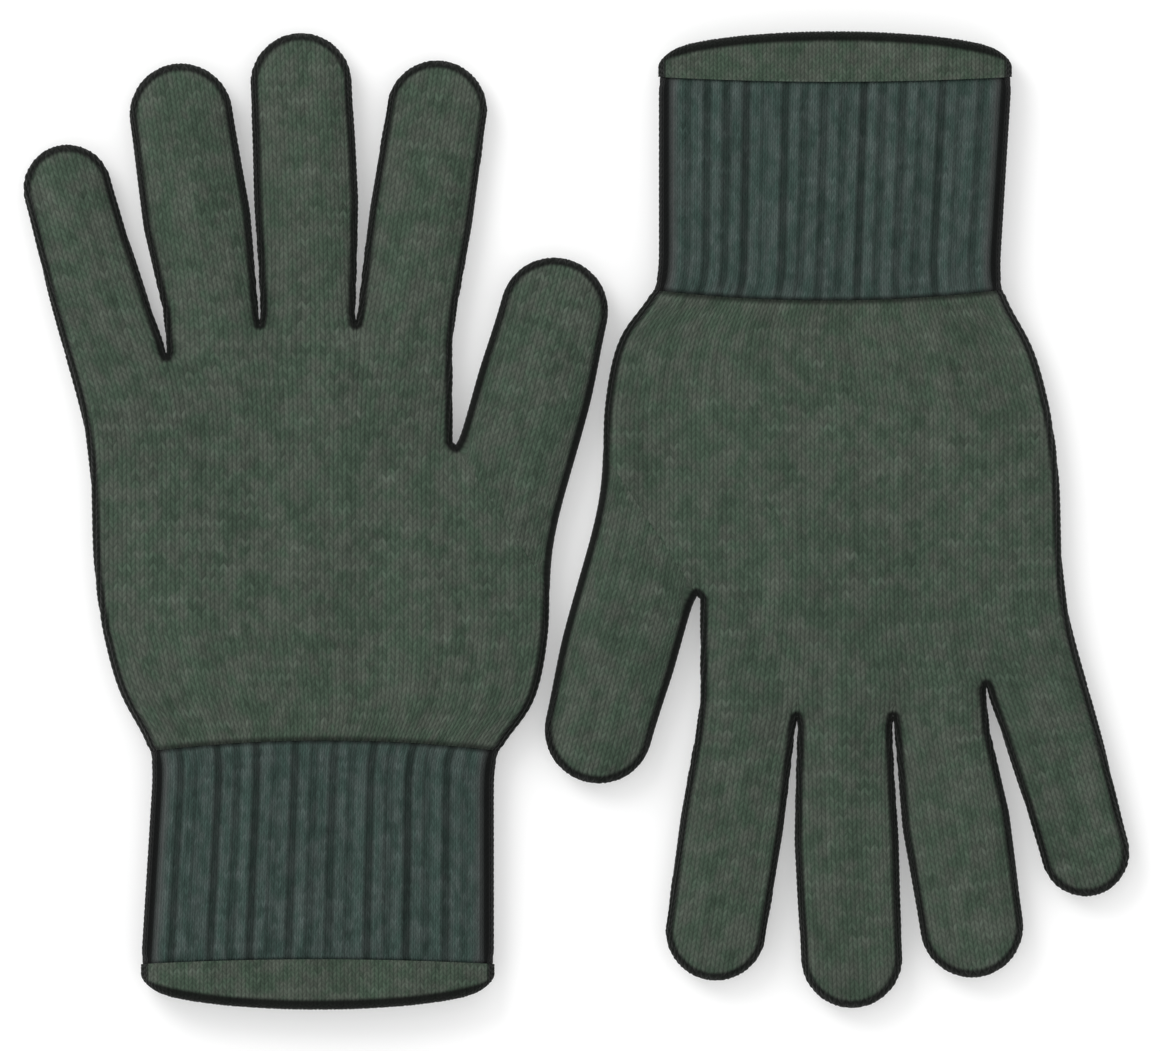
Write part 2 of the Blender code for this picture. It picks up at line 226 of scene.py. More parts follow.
def digit_tip(name):
    """The middle, radius and heading of a digit's round tip, and the digit's fold."""
    fold, axis = hinge(name + "_middle_fold")
    ahead = square_to(axis)
    parts = [name + "_base", name + "_tip"]
    end = fold + ahead * reach(parts, fold, ahead)
    inner = end - ahead * TIP_LENGTH
    right, left = (reach(parts, inner, way) for way in (axis, -axis))
    radius = (left + right) / 2
    middle = end - ahead * radius + axis * (right - left) / 2
    return middle, radius, ahead, axis, fold


def finish_side(start, points, tip, sign, spread):
    """A side from its start, through the probed points and round a quarter of the tip."""
    middle, radius, ahead, axis, fold = tip
    clear = [p for p in points if abs((p - fold) @ ahead) > NEAR_FOLD]
    kept = [p for p in clear if (p - middle) @ ahead < -BEFORE_TIP]
    shoulder = middle + sign * axis * radius
    body = smooth_line(np.array(list(start) + kept + [shoulder]), spread)
    turns = np.linspace(0, math.pi / 2, 40)[1:, None]
    quarter = middle + radius * (sign * axis * np.cos(turns) + ahead * np.sin(turns))
    return np.concatenate([body, quarter])


CUFF_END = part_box("glove_a_hem")[0].y - WRIST[1]
RIB_LOW = -0.054  # just above the end of the rib
THUMB_SIDE = 0.0755  # up to where the thumb's base makes the outline
ABOVE_HEEL = 0.015  # the thumb's crease meets the outline higher than this
left_outline = side_points(["palm", "rib_cuff"], RIB_LOW, PALM_TOP, LEFT)
right_outline = side_points(["palm", "rib_cuff", "thumb_base"], RIB_LOW, THUMB_SIDE, RIGHT)
left_outline = smooth_line(left_outline)
right_outline = smooth_line(right_outline)
crease_miss = (right_outline - crease_point) @ np.array([crease_way[1], -crease_way[0]])
above = right_outline[:, 1] > ABOVE_HEEL
crease_end = right_outline[above][np.argmin(np.abs(crease_miss[above]))]

# %% All ten sides
FORK_SMOOTHING, THUMB_FORK_SMOOTHING = 0.0006, 0.002  # tighter, so that the forks stay sharp
CREASE_RISE = 0.0010  # how far the index finger's side goes on above the thumb's fork
ROOT_CLEAR = 0.002  # the first ray is this far above the slot at a root
sides = {}
tips = {name: digit_tip(name) for name in DIGITS}
for name in DIGITS:
    parts = [name + "_base", name + "_tip"]
    low = hinge(name + "_root_fold")[0][1] + ROOT_CLEAR
    high = tips[name][0][1] + PAST_TIP
    if name == "thumb":
        left_start = [thumb_fork, thumb_fork + [CREASE_RISE, 0.0012]]
        left = side_points(parts, thumb_fork[1] + 0.004, high, LEFT)
        right = side_points(parts, crease_end[1] + ROOT_CLEAR, high, RIGHT)
        right_start = [crease_end]
    else:
        left, right = (side_points(parts, low, high, way) for way in (LEFT, RIGHT))
        place = FINGERS.index(name)
        if place == 0:
            left_start = [[x_of(left_outline, PALM_TOP), PALM_TOP]]
        else:
            fork = forks[FINGERS[place - 1], name]
            left_start = [[fork[0], PALM_TOP], fork - [0, HALF_SLOT], fork + [HALF_SLOT, 0]]
        if place == 3:
            right_start = [[index_side, PALM_TOP], [index_side, PALM_TOP + 0.003]]
        else:
            fork = forks[name, FINGERS[place + 1]]
            right_start = [[fork[0], PALM_TOP], fork - [0, HALF_SLOT], fork - [HALF_SLOT, 0]]
    sharp = THUMB_FORK_SMOOTHING if name == "thumb" else FORK_SMOOTHING
    left_spread, right_spread = (SMOOTHING if name == end else sharp for end in ("little", "thumb"))
    sides[name] = (
        finish_side(left_start, left, tips[name], -1, left_spread),
        finish_side(right_start, right, tips[name], 1, right_spread),
    )
    print(name, "sides in mm:", [round(lengths(side)[-1] * 1000, 1) for side in sides[name]])

# %% [markdown]
# ## How far each point is from the edge
# The shape of an empty glove that lies flat is that of a flat pillow: it is rounded off along
# all its edges, also between the fingers. So the height of the fabric at any point depends on
# how far that point is from the nearest edge.

# %% Distance to the edge
index_edge = np.array([[index_side, PALM_TOP], [index_side, thumb_fork[1] + CREASE_RISE], thumb_fork])
cuff_left = np.array([[left_outline[0][0], -0.1], left_outline[0]])
cuff_right = np.array([right_outline[0], [right_outline[0][0], -0.1]])
below_crease = right_outline[:, 1] <= crease_end[1]
thumb_side = np.concatenate([right_outline[below_crease], [crease_end]])
edge_lines = [cuff_left, left_outline, index_edge, cuff_right, thumb_side]
edge_lines += [side for pair in sides.values() for side in pair]
segments = np.concatenate([np.concatenate([line[:-1], line[1:]], axis=1) for line in edge_lines])


def on_strip_line(segment):
    """True for the lines below a fork, which are inside the palm and no edge."""
    for fork in forks.values():
        top = fork[1] - HALF_SLOT * 0.9
        if abs(segment[0] - fork[0]) < 0.0003 and max(segment[1], segment[3]) < top:
            return True
    return False


segments = np.array([s for s in segments if not on_strip_line(s)])
FAR_INSIDE = 0.016  # beyond this the fabric is flat
BATCH = 6000  # points measured at a time, which keeps the arrays small


def edge_distance(plan):
    """How far each point of a plan grid is from the nearest edge, up to FAR_INSIDE."""
    flat = plan.reshape(-1, 2)
    low, high = flat.min(axis=0) - FAR_INSIDE, flat.max(axis=0) + FAR_INSIDE
    ends = segments.reshape(-1, 2, 2)
    close = (ends.max(axis=1) > low).all(axis=1) & (ends.min(axis=1) < high).all(axis=1)
    near = segments[close]
    start, way = near[:, :2], near[:, 2:] - near[:, :2]
    size = np.maximum((way**2).sum(axis=1), 1e-16)
    found = np.empty(len(flat))
    for first in range(0, len(flat), BATCH):
        away = flat[first : first + BATCH, None, :] - start[None]
        t = np.clip((away * way[None]).sum(axis=2) / size, 0, 1)
        gap = away - t[..., None] * way[None]
        found[first : first + BATCH] = np.sqrt((gap**2).sum(axis=2).min(axis=1))
    return np.minimum(found, FAR_INSIDE).reshape(plan.shape[:-1])


print(len(segments), "edge stretches")

# %% [markdown]
# ## The pillow
# The top is a quarter ellipse from the edge inwards, and flat further in, with slow swells as
# fabric has. The underside is flatter, because the glove rests on it.

# %% Heights of top and underside
MIDDLE_Z = 0.0056  # height of the edges above the table
TOP_Z = LOFT - 0.0008  # leaves room for the stitches
UNDER_Z = 0.0003
HAND_ROUND, CUFF_ROUND, UNDER_ROUND = 0.0125, 0.0085, 0.0075  # how far in the rounding reaches
SWELL = 0.0004  # how much the top rises and falls
ON_EDGE = 0.00006  # an outer point this near the edge is on it


def round_off(distance, reach_in):
    """0 at the edge and 1 from reach_in inwards, along a quarter of a circle."""
    share = np.clip(distance / reach_in, 0, 1)
    return np.sqrt(np.maximum(1 - (1 - share) ** 2, 0))


def swells(x, y):
    """Two slow waves that cross each other, 6 and 8 cm long, together from -2 to 2."""
    return np.sin(x / 0.0093 + 1.1 * np.sin(y / 0.021)) + np.sin(y / 0.0127 + x / 0.031 + 2.0)


def pillow(plan):
    """The smooth top and underside over a plan grid, and the distance from the edge."""
    distance = edge_distance(plan)
    for column in (0, -1):
        distance[distance[:, column] < ON_EDGE, column] = 0
    x, y = plan[..., 0], plan[..., 1]
    reach_in = CUFF_ROUND + (HAND_ROUND - CUFF_ROUND) * step_up(y, -0.004, 0.020)
    high = TOP_Z + SWELL * (swells(x, y) - 2) / 2
    top_z = MIDDLE_Z + (high - MIDDLE_Z) * round_off(distance, reach_in)
    under_z = MIDDLE_Z + (UNDER_Z - MIDDLE_Z) * round_off(distance, UNDER_ROUND)
    top = np.concatenate([plan, top_z[..., None]], axis=-1)
    under = np.concatenate([plan, under_z[..., None]], axis=-1)
    return top, under, distance


def facing(grid, sign):
    """The unit normals of a grid of points, up for sign 1 and down for sign -1."""
    normal = np.cross(np.gradient(grid, axis=1), np.gradient(grid, axis=0)) * sign
    size = np.linalg.norm(normal, axis=-1, keepdims=True)
    return normal / np.maximum(size, 1e-12)


# %% [markdown]
# ## Knitting
# Stocking stitch is columns of V shapes, the wales, stacked in rows, the courses. A point of the
# fabric has a place in the knitting: how many wales across and how many courses up it is. The
# stitch is a height over that place. Its two legs lean outwards as they rise, with a groove
# between them and a deeper one between two wales.

# %% Stitch heights
WALE, COURSE = 0.0022, 0.0016  # one stitch of the hand
RIB, RIB_COURSE = 0.0049, 0.0015  # one rib with its groove, four wales wide, and its course
LEAN = 1.7  # how many courses a leg rises over one wale
STITCH_DEPTH, RIB_DEPTH = 0.00030, 0.00076  # how far stitches and ribs stand out
STEP = 0.00045  # from one point of a mesh to the next


def stocking_stitch(wales, courses):
    """0 in the grooves and 1 on the legs of each V."""
    out = np.abs(np.mod(wales, 1) - 0.5)
    leg = np.mod(courses - LEAN * out, 1)
    return np.sqrt(np.sin(2 * math.pi * out)) * (0.45 + 0.55 * np.sin(math.pi * leg))


def ribbing(ribs, courses):
    """Plain ridges, with their stitches, between sunken purl grooves."""
    ridge = step_up(np.cos(2 * math.pi * ribs) + 0.25, -0.45, 0.6)
    stitches = stocking_stitch(ribs * 4 + 0.5, courses)
    return ridge + 0.3 * stitches * ridge


# %% [markdown]
# ## Grids
# Each piece is two grids of points, its top and its underside, that share their points where
# the fabric turns over an edge. Points lie evenly over the round section of a finger, so they
# are close together, seen from above, at its sides.

# %% Even spacing over a round section
def section_run(reach_in, half_width, height=LOFT / 2):
    """Distances in from the middle of a section, and the length of fabric out to each."""
    out = half_width * np.sin(np.linspace(0, math.pi / 2, 400))
    rise = height * round_off(half_width - out, reach_in)
    run = np.concatenate([[0], np.cumsum(np.hypot(np.diff(out), np.diff(rise)))])
    return out, run


def over_fabric(offset, reach_in, half_width):
    """The length of fabric from a section's middle out to some offsets, left ones negative."""
    out, run = section_run(reach_in, half_width)
    return np.sign(offset) * np.interp(np.abs(offset), out, run)


def even_section(count, reach_in, half_width):
    """Places from -1 to 1 across a section that are evenly spaced over the fabric."""
    out, run = section_run(reach_in, half_width)
    wanted = np.linspace(-run[-1], run[-1], count)
    return np.sign(wanted) * np.interp(np.abs(wanted), run, out) / half_width


FINGER_GIRTH = 0.0305  # the fabric over a finger's top, from side to side
FINGER_COLUMNS = int(FINGER_GIRTH / STEP)
ROUND = even_section(FINGER_COLUMNS + 1, HAND_ROUND, HAND_ROUND)
print(FINGER_COLUMNS, "columns over a finger")

# %% [markdown]
# ## From grids to a mesh
# A grid becomes a mesh when each four neighbouring points get a face. A modifier could grow the
# faces too, but a mesh made here also carries, at every point, its place in the knitting and its
# distance from the edge. The finishes read both.

# %% Faces between two grids
EDGE_FALL = 0.5  # how soon, going down, the underside stops counting as an edge for the painted edge shade


def layer(top, under, knit, distance, free, turn=1, zip_end=False):
    """Two grids that share their points at free edges and, if asked, along the last row."""
    rows, columns = top.shape[:2]
    first = np.arange(rows * columns).reshape(rows, columns)
    second = first + rows * columns
    for column, side in ((0, 0), (-1, 1)):
        second[free[:, side], column] = first[free[:, side], column]
    if zip_end:
        second[-1] = first[-1]
    row, column = np.meshgrid(np.arange(rows), np.arange(columns), indexing="ij")
    spot = np.stack([column / (columns - 1), row / (rows - 1)], -1)
    quads, spots = [], []
    for grid, way in ((first, turn), (second, -turn)):
        corners = [(0, 0), (0, 1), (1, 1), (1, 0)][::way]
        picked = [(slice(a, rows - 1 + a), slice(b, columns - 1 + b)) for a, b in corners]
        quads.append(np.stack([grid[p] for p in picked], -1).reshape(-1, 4))
        spots.append(np.stack([spot[p] for p in picked], -2).reshape(-1, 2))
    points = np.concatenate([top.reshape(-1, 3), under.reshape(-1, 3)])
    facts = np.concatenate([knit.reshape(-1, 3)] * 2)
    below = distance + EDGE_FALL * np.maximum(MIDDLE_Z - under[..., 2], 0)
    depth = np.concatenate([distance.reshape(-1), below.reshape(-1)])
    return quads, spots, points, facts, depth


# %% Mesh of a piece
OTHER_YARN = (0, 0, 50)  # glove B's heather is read from another place in the noise
WRIST_B = np.array(joints["glove_b_wrist_fold"]["pos_m"][:2])
GLOVES = {"glove_a": (WRIST, 1, (0, 0, 0)), "glove_b": (WRIST_B, -1, OTHER_YARN)}
MARGIN = np.array([0.02, 0.01])  # round each strip of the map


def placed(glove, plan):
    """Points of the plan moved to where that glove lies."""
    origin, sign, _ = GLOVES[glove]
    moved = np.array(plan, float)
    moved[..., :2] = origin + sign * moved[..., :2]
    return moved


def new_piece(name, points, quads, spots, facts, depth):
    """A smooth mesh object with its knitting facts and its map for baking."""
    mesh = bpy.data.meshes.new(name)
    mesh.vertices.add(len(points))
    mesh.vertices.foreach_set("co", points.astype(np.float32).ravel())
    mesh.loops.add(quads.size)
    mesh.loops.foreach_set("vertex_index", quads.astype(np.int32).ravel())
    mesh.polygons.add(len(quads))
    mesh.polygons.foreach_set("loop_start", np.arange(0, quads.size, 4, dtype=np.int32))
    mesh.update(calc_edges=True)
    knit = mesh.attributes.new("knit", "FLOAT_VECTOR", "POINT")
    knit.data.foreach_set("vector", facts.astype(np.float32).ravel())
    edge = mesh.attributes.new("from_edge", "FLOAT", "POINT")
    edge.data.foreach_set("value", depth.astype(np.float32))
    baking = mesh.uv_layers.new(name="OFBake")
    baking.data.foreach_set("uv", spots.astype(np.float32).ravel())
    mesh.shade_smooth()
    piece = bpy.data.objects.new(name, mesh)
    bpy.context.scene.collection.objects.link(piece)
    return piece


def build_piece(glove, name, *layers):
    """One glove's piece from its layers, each with its own two strips of the map."""
    quads, spots, offset, strips = [], [], 0, 2 * len(layers)
    for layer_quads, layer_spots, points, _, _ in layers:
        for quad, spot in zip(layer_quads, layer_spots):
            inside = spot * (1 - 2 * MARGIN) + MARGIN
            spots.append(inside * [1 / strips, 1] + [len(spots) / strips, 0])
            quads.append(quad + offset)
        offset += len(points)
    quads, spots = np.concatenate(quads), np.concatenate(spots)
    points, facts, depth = (np.concatenate(part) for part in list(zip(*layers))[2:])
    used = np.unique(quads)
    renumber = np.zeros(len(points), int)
    renumber[used] = np.arange(len(used))
    return new_piece(
        f"{glove}_{name}", placed(glove, points[used]), renumber[quads], spots,
        facts[used] + GLOVES[glove][2], depth[used],
    )


# %% Raise the stitches
UNDER_SHARE = 0.4  # how much of the stitches' height the flattened underside keeps


def knitted(plan, knit, stitch, depth, sink=0.0, turn=1):
    """The top and underside over a plan, with their stitches raised and seams drawn in.

    The rows run upwards for turn 1 and downwards for turn -1.
    """
    top, under, distance = pillow(plan)
    free = distance[:, [0, -1]] == 0
    top_way, under_way = facing(top, turn), facing(under, -turn)
    for column in (0, -1):
        rim = top_way[:, column] + under_way[:, column]
        rim /= np.maximum(np.linalg.norm(rim, axis=-1, keepdims=True), 1e-9)
        edge = free[:, column]
        top_way[edge, column] = under_way[edge, column] = rim[edge]
    raised = (stitch(knit[..., 0], knit[..., 1]) * depth - sink)[..., None]
    top = top + top_way * raised
    kept = UNDER_SHARE + (1 - UNDER_SHARE) * (distance[..., None] == 0)
    under = under + under_way * raised * kept
    under[..., 2] = np.maximum(under[..., 2], 0)
    return top, under, knit, distance, free


# %% [markdown]
# ## Palm
# The palm piece runs from the wrist seam to just below the first fork. Its columns run up into
# the four fingers. On the thumb's side it follows the outline to the thumb's crease, the crease
# up to the fork, and the index finger's side from there.

# %% Palm grid
SEAM_BOW = 0.0027  # how much lower the wrist seam lies at the sides
SEAM_DEPTH, SEAM_REACH = 0.0005, 0.0015  # how far the seam is drawn in, and over what height
HEEL_REACH = 0.030  # up to where the wales draw together towards the wrist
FAN_REACH = 0.028  # below the top, over which they fan out into the fingers
PALM_HALF = 0.050  # half the palm's width, for the spacing of its columns


def rows_between(low, high):
    """Heights one mesh step apart, both ends included."""
    return np.linspace(low, high, max(int(round((high - low) / STEP)), 2) + 1)


crease_rows = rows_between(crease_end[1], thumb_fork[1])
palm_levels = np.concatenate([
    rows_between(0, crease_end[1]), crease_rows[1:], rows_between(thumb_fork[1], PALM_TOP)[1:]
])
first_crease = int(np.argmin(np.abs(palm_levels - crease_end[1])))
last_crease = int(np.argmin(np.abs(palm_levels - thumb_fork[1])))
right_line = np.concatenate([
    right_outline[right_outline[:, 1] < crease_end[1]], [crease_end, thumb_fork],
    [[index_side, thumb_fork[1] + CREASE_RISE], [index_side, PALM_TOP]],
])


def hand_edges(y):
    """The hand's left and right sides at some heights."""
    return x_of(left_outline, y), x_of(right_line, y)


strip_ends = [float(sides["little"][0][0][0])]
strip_ends += [fork[0] for fork in forks.values()] + [index_side]
top_x = [strip_ends[0]]
for low_x, high_x in zip(strip_ends, strip_ends[1:]):
    top_x += list(low_x + (high_x - low_x) * (ROUND[1:] + 1) / 2)
top_x = np.array(top_x)
top_share = (top_x - top_x[0]) / (top_x[-1] - top_x[0])
low_share = (even_section(len(top_x), HAND_ROUND, PALM_HALF) + 1) / 2

level = palm_levels[:, None] * np.ones(len(top_x))
to_top = step_up(level, PALM_TOP - 0.034, PALM_TOP - 0.002)
share = low_share[None] * (1 - to_top) + top_share[None] * to_top
bow = SEAM_BOW * (2 * share - 1) ** 2 * (1 - step_up(level, 0, HEEL_REACH))
palm_y = level - bow
left_x, right_x = hand_edges(palm_y)
palm_plan = np.stack([left_x + (right_x - left_x) * share, palm_y], axis=-1)
root_places = {name: hinge(name + "_root_fold")[0] for name in DIGITS}
root_slopes = {}
for name in FINGERS:
    ahead = hinge(name + "_middle_fold")[0] - root_places[name]
    root_slopes[name] = ahead[0] / ahead[1]


def palm_wales(x, y):
    """How many wales across the palm a point is."""
    low, high = hand_edges(np.minimum(y, HEEL_REACH))
    low_ref, high_ref = hand_edges(HEEL_REACH)
    spread = low_ref + (x - low) / (high - low) * (high_ref - low_ref)
    drawn_in = spread + (x - spread) * step_up(y, HEEL_REACH * 0.8, HEEL_REACH)
    slope = np.interp(x, [root_places[n][0] for n in FINGERS], list(root_slopes.values()))
    climb = np.maximum(y - PALM_TOP + FAN_REACH, 0)
    return (drawn_in - slope * climb**2 / (2 * FAN_REACH)) / WALE


palm_knit = np.stack([
    palm_wales(palm_plan[..., 0], palm_plan[..., 1]), level / COURSE, 0 * level
], axis=-1)
drawn_in = SEAM_DEPTH * (1 - step_up(level, 0, SEAM_REACH))
palm = knitted(palm_plan, palm_knit, stocking_stitch, STITCH_DEPTH, drawn_in)
palm[4][first_crease + 1 : last_crease, 1] = False
print("palm grid", palm_plan.shape[:2])

# %% [markdown]
# ## Fingers and thumb
# A row of a digit joins its left side to its right side. The first row is the palm's edge, and
# the rows turn square to the digit over the first stretch, as fabric does when it is pulled
# straight. Each digit is two pieces, one on each side of its middle fold. They meet just before
# that fold.

# %% Digit grids
TURN_REACH = 0.024  # the length over which the rows turn square
TIP_GAP = 0.02  # the last row's width, as a share of the row before it
JOIN_BEFORE_FOLD = 0.004
THUMB_HALF = 0.014
THUMB_COURSE = 30  # the thumb's first course, far from the wrist seam's shading


def digit_grid(name, columns, first_places=None):
    """A digit's plan, its middle line with the way along it, and each point's share across."""
    left, right = sides[name]
    left_run, right_run = lengths(left)[-1], lengths(right)[-1]
    mean, lag = (left_run + right_run) / 2, (left_run - right_run) / 2
    run = np.linspace(0, mean, int(mean / STEP) + 1)
    turned = step_up(run, 0, min(mean * 0.75, max(TURN_REACH, abs(lag) * 2.6)))
    start, end = along(left, run + lag * turned), along(right, run - lag * turned)
    start[-1] = end[-1] = (start[-1] + end[-1]) / 2
    gap = (start[-2] - end[-2]) * TIP_GAP
    start[-1], end[-1] = start[-1] + gap, end[-1] - gap
    share = (columns[None] + 1) / 2 * np.ones((len(run), 1))
    if first_places is not None:
        even = 1 - step_up(run, 0, TURN_REACH)[:, None]
        share = first_places[None] * even + share * (1 - even)
    plan = start[:, None] + (end - start)[:, None] * share[..., None]
    middle = (start + end) / 2
    travel = lengths(middle)
    return plan, middle, travel, share


def digit_knit(name, plan, middle, travel, share):
    """The wales and courses of a digit. A finger's go on from the palm's."""
    if name == "thumb":
        _, axis = hinge("thumb_middle_fold")
        fabric = over_fabric((plan - middle[:, None]) @ axis, HAND_ROUND, HAND_ROUND)
        up = travel[:, None] + (plan - middle[:, None]) @ square_to(axis)
        return np.stack([fabric / WALE + 0.5, up / COURSE + THUMB_COURSE, 0 * up], axis=-1)
    width = np.linalg.norm(plan[:, -1] - plan[:, 0], axis=1)[:, None]
    fabric = over_fabric((share - 0.5) * width, HAND_ROUND, HAND_ROUND)
    seam = palm_wales(plan[0, :, 0], plan[0, :, 1])
    centre = palm_wales(middle[0, 0], middle[0, 1])
    settled = step_up(travel, 0, TURN_REACH)[:, None]
    wales = seam[None] * (1 - settled) + (centre + fabric / WALE) * settled
    courses = (palm_levels[-1] + travel[:, None]) / COURSE * np.ones_like(wales)
    return np.stack([wales, courses, 0 * wales], axis=-1)


digits = {}
for name in DIGITS:
    if name == "thumb":
        count = last_crease - first_crease
        columns = even_section(count + 1, HAND_ROUND, THUMB_HALF)
        grid = digit_grid(name, columns, np.linspace(0, 1, count + 1))
    else:
        grid = digit_grid(name, ROUND)
    plan, middle, travel, share = grid
    fabric = knitted(plan, digit_knit(name, *grid), stocking_stitch, STITCH_DEPTH)
    fold, axis = hinge(name + "_middle_fold")
    join = int(np.argmin(np.abs((middle - fold) @ square_to(axis) + JOIN_BEFORE_FOLD)))
    digits[name] = (fabric, join)
    print(name, "grid", plan.shape[:2], "join at row", join)

# %% [markdown]
# ## Cuff
# The cuff is a tube of ribbing, and its mouth lies almost flat. A pattern of stripes would do
# for its ribs from above. They are raised in the mesh as well, because they make the cuff's
# profile where it is seen from low down. The rib's ends are tucked under the hand and the hem.

# %% Cuff grids
RIB_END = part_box("glove_a_rib_cuff")[0].y - WRIST[1]
LINING = 0.0030  # from the outer to the inner face
HEM_BOW = 0.0012  # how much the rib reaches further down at its sides
LINING_END = -0.005  # the lining closes just below the wrist seam

cuff_left_x, cuff_right_x = x_of(left_outline, RIB_END), x_of(right_outline, RIB_END)
mouth_middle, mouth_half = (cuff_left_x + cuff_right_x) / 2, (cuff_right_x - cuff_left_x) / 2
mouth_side = -reach(["hem"], (mouth_middle + mouth_half * 0.998, 0.0), (0, -1))
print("mouth in mm: sides", round(mouth_side * 1000, 1), "middle", round(CUFF_END * 1000, 1))


def mouth_at(share):
    """The height of the mouth's edge across the cuff, for shares from 0 to 1."""
    angle = np.arcsin(np.clip(2 * share - 1, -1, 1))
    return mouth_side + (CUFF_END - mouth_side) * np.cos(angle)


def cuff_plan(share, heights):
    """Points of the cuff, from its left side at share 0 to its right side at share 1."""
    left_x, right_x = x_of(left_outline, heights), x_of(right_outline, heights)
    return np.stack([left_x + (right_x - left_x) * share, heights], axis=-1)


def cuff_knit(share, heights, course):
    """The ribs keep their distance from the sides all the way down."""
    fabric = over_fabric((2 * share - 1) * mouth_half + 0 * heights, CUFF_ROUND, mouth_half)
    return np.stack([fabric / RIB, -heights / course + 0 * fabric, 0 * fabric], axis=-1)


# %% Rib
TUCK = 0.0015  # how far the rib goes on below the hand's edge and the hem's
END_RELIEF = 0.15  # the part of the ribs' relief that is left at their ends
SUNK, TUCKED_SUNK = 0.0003, 0.0008  # how deep the rib lies, and how much more at its ends

share = low_share[None, :]
down = rows_between(0, -RIB_END + TUCK)[:, None] / (-RIB_END + TUCK)
seam_y = -SEAM_BOW * (2 * share - 1) ** 2
rib_end_y = RIB_END - HEM_BOW * (2 * share - 1) ** 2
rib_y = seam_y + TUCK + (rib_end_y - seam_y - 2 * TUCK) * down
rib_plan = cuff_plan(share * np.ones_like(down), rib_y)
rib_knit = cuff_knit(share, rib_y - seam_y, RIB_COURSE)
from_ends = np.minimum(seam_y - rib_y, rib_y - rib_end_y)
shown = step_up(from_ends, -0.0005, 0.0035)
tucked_in = SUNK + TUCKED_SUNK * (1 - step_up(from_ends, -0.0008, 0.0006))


def rib_relief(ribs, courses):
    """The ribs' height, which fades towards the two seams."""
    return ribbing(ribs, courses) * (END_RELIEF + (1 - END_RELIEF) * shown)


rib = knitted(rib_plan, rib_knit, rib_relief, RIB_DEPTH, tucked_in, turn=-1)
rib[4][:] = True
print("rib grid", rib_plan.shape[:2])


# %% [markdown]
# ## Hem and lining
# The hem is a band of plain knitting that turns over a soft edge at the mouth and runs back
# inside. One grid goes down the outside, round the edge and up the inside, so its stitches go
# round too. From there the lining runs up inside the cuff and closes, so that one can look into
# the mouth and sees fabric all round.

# %% Faces of the cuff's tube
HEM_WALE, HEM_COURSE = 0.0019, 0.0013
HEM_LENGTH = 0.0115
HEM_COURSES = 20  # its first course, far from the wrist seam's shading
HEM_FULL, HEM_FULL_REACH = 0.0004, 0.004  # how much fuller it is than the rib, away from its sides
ROLL_STEPS = 10  # round the turned edge
INNER_TURN = 2.5  # turned further than this, in radians, the fabric is inside the mouth


def tube_faces(plan):
    """The smooth top and underside of the cuff over a plan, and which way they face."""
    top, under, distance = pillow(plan)
    side = np.sign(plan[..., 0] - mouth_middle)
    ways = []
    for reach_in, sign in ((CUFF_ROUND, 1), (UNDER_ROUND, -1)):
        out = side * (1 - np.clip(distance / reach_in, 0, 1))
        ways.append(np.stack([out, 0 * out, sign * np.sqrt(1 - out**2)], -1))
    return top, under, *ways, distance


# %% Hem
edge_y = mouth_at(share)
radius = LINING / 2
steps = np.linspace(0, 1, int(HEM_LENGTH / STEP) + 1)[:, None]
roll = np.linspace(0, math.pi, ROLL_STEPS + 1)[1:-1]
outer = rib_end_y + (edge_y + radius - rib_end_y) * steps
rolled = edge_y + radius - radius * np.sin(roll)[:, None]
inner = edge_y + radius + (rib_end_y - edge_y - radius) * steps[::2]
hem_y = np.concatenate([outer, rolled, inner])
hem_turn = np.concatenate([np.zeros(len(outer)), roll, np.full(len(inner), math.pi)])[:, None]
turned_in = hem_turn > INNER_TURN
hem_plan = cuff_plan(share * np.ones((len(hem_y), 1)), hem_y)
smooth_top, smooth_under, top_way, under_way, distance = tube_faces(hem_plan)
hem_knit = cuff_knit(share, hem_y, HEM_COURSE)
hem_knit[..., 0] *= RIB / HEM_WALE
hem_knit[..., 1] = HEM_COURSES + (rib_end_y - hem_y + radius * hem_turn) / HEM_COURSE
hem_knit[..., 2] = turned_in
raised = stocking_stitch(hem_knit[..., 0], hem_knit[..., 1]) * STITCH_DEPTH
raised = (raised + HEM_FULL * step_up(distance, 0, HEM_FULL_REACH))[..., None]
straight, turned = np.cos(hem_turn)[..., None], np.sin(hem_turn)[..., None]
faces = []
for base, way in ((smooth_top, top_way), (smooth_under, under_way)):
    out_way = way * straight + np.array([0.0, -1.0, 0.0]) * turned
    faces.append(base - way * radius * (1 - straight) + out_way * raised)
faces[1][..., 2] = np.maximum(faces[1][..., 2], 0)
# the hem's distance from the edge sets only its painted edge shade: it grows from the mouth's edge,
# and the turned-in part gets none
rim_distance = np.where(turned_in, FAR_INSIDE, np.maximum(hem_y - edge_y, 0))
hem_distance = np.minimum(distance, rim_distance)
hem_distance[turned_in[:, 0]] = FAR_INSIDE
hem = (*faces, hem_knit, hem_distance, np.ones((len(hem_y), 2), bool))
print("hem grid", hem_plan.shape[:2])

